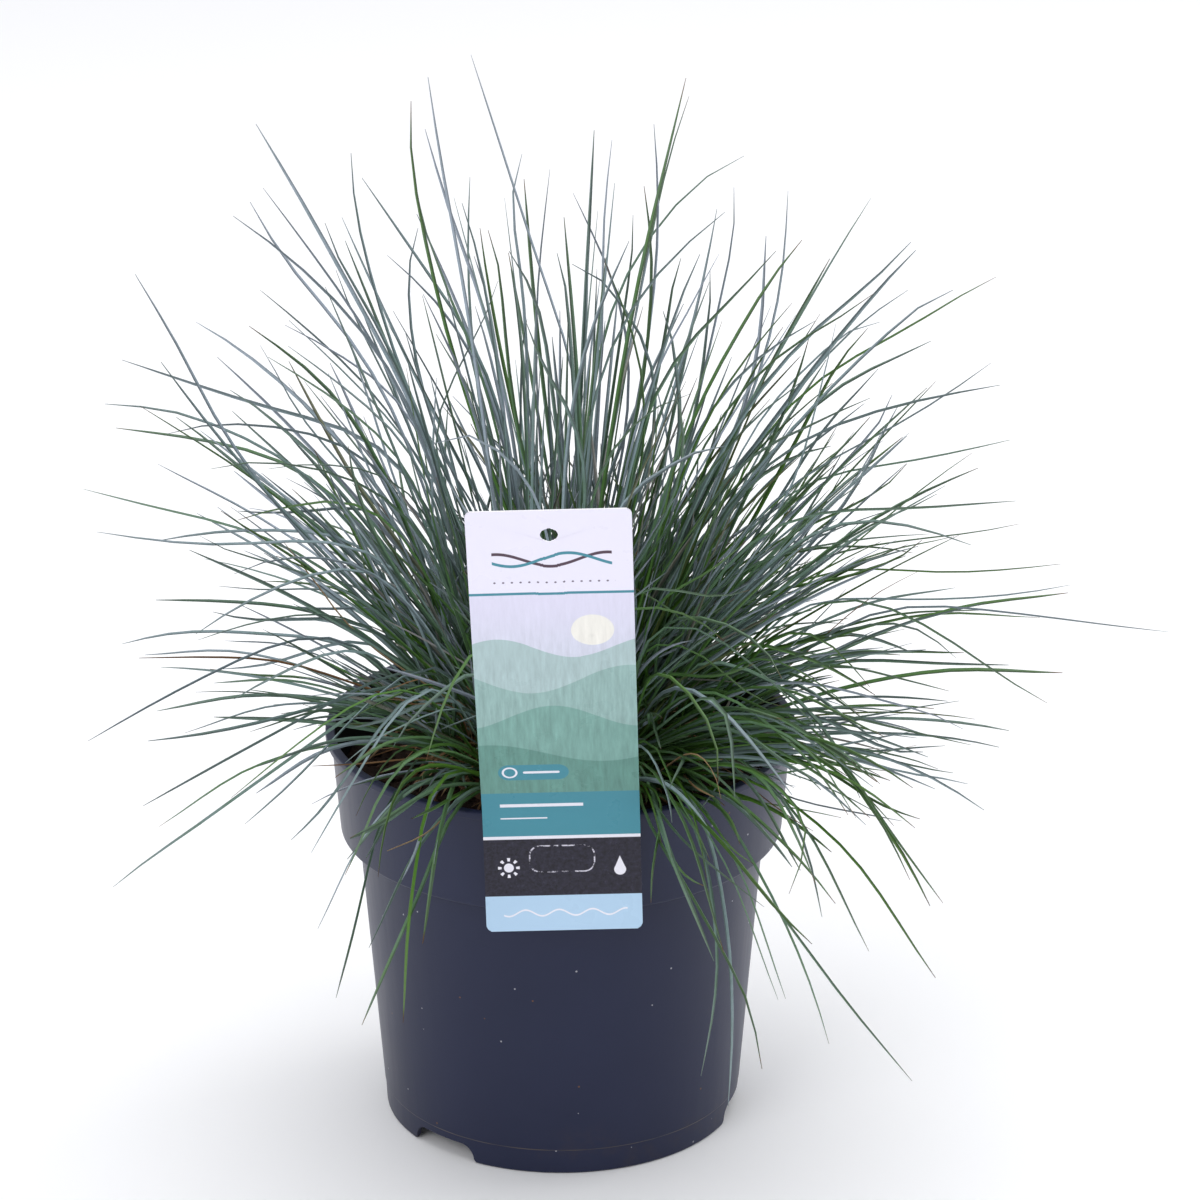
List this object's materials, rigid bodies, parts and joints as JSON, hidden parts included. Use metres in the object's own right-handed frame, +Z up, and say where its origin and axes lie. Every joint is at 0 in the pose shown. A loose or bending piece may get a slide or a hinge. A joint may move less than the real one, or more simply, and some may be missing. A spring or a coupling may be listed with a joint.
{
  "type": "potted ornamental grass",
  "caption": "Clump of blue fescue grass with long needle-like leaves in a round tapered grower's pot, with a plain plant label on the rim.",
  "frame": {"origin": "centre of the pot's foot, on the surface that the pot stands on; the pot's axis is Z", "axes": "+Z up along the pot's axis; -Y is the front, where the label hangs on the rim; +X to the right seen from the front"},
  "size_m": [0.4431, 0.3865, 0.44],
  "materials": {
    "pot_plastic": "satin moulded plastic, dark grey-blue",
    "peat": "damp peat potting mix",
    "dry_sheath": "dry straw-coloured leaf sheaths",
    "label_card": "printed plastic card, slight gloss",
    "leaf_blue": "waxy blue-grey leaf",
    "leaf_green": "fresh green leaf",
    "leaf_grey": "grey-green leaf"
  },
  "bodies": {
    "root": {"pot": "pot_plastic", "soil": "peat", "crown": "dry_sheath", "plant_label": "label_card", "tuft_01": "leaf_green", "tuft_02": "leaf_grey", "tuft_03": "leaf_blue", "tuft_04": "leaf_green", "tuft_05": "leaf_grey", "tuft_06": "leaf_blue", "tuft_07": "leaf_green", "tuft_08": "leaf_grey", "tuft_09": "leaf_blue", "tuft_10": "leaf_green", "tuft_11": "leaf_grey", "tuft_12": "leaf_blue", "tuft_13": "leaf_green", "tuft_14": "leaf_grey", "tuft_15": "leaf_blue", "tuft_16": "leaf_green", "tuft_17": "leaf_grey", "tuft_18": "leaf_blue", "tuft_19": "leaf_green", "tuft_20": "leaf_grey", "tuft_21": "leaf_blue", "tuft_22": "leaf_green", "tuft_23": "leaf_grey", "tuft_24": "leaf_blue", "tuft_25": "leaf_green", "tuft_26": "leaf_grey", "tuft_27": "leaf_blue", "tuft_28": "leaf_green", "tuft_29": "leaf_grey", "tuft_30": "leaf_blue", "tuft_31": "leaf_green", "tuft_32": "leaf_grey", "tuft_33": "leaf_blue", "tuft_34": "leaf_green", "tuft_35": "leaf_grey", "tuft_36": "leaf_blue", "tuft_37": "leaf_green", "tuft_38": "leaf_grey", "tuft_39": "leaf_blue", "tuft_40": "leaf_green", "tuft_41": "leaf_grey", "tuft_42": "leaf_blue", "tuft_43": "leaf_green", "tuft_44": "leaf_grey", "tuft_45": "leaf_blue", "tuft_46": "leaf_green", "tuft_47": "leaf_grey", "tuft_48": "leaf_blue", "tuft_49": "leaf_green", "tuft_50": "leaf_grey", "tuft_51": "leaf_blue", "tuft_52": "leaf_green", "tuft_53": "leaf_grey", "tuft_54": "leaf_blue", "tuft_55": "leaf_green", "tuft_56": "leaf_grey"}
  },
  "joints": []
}
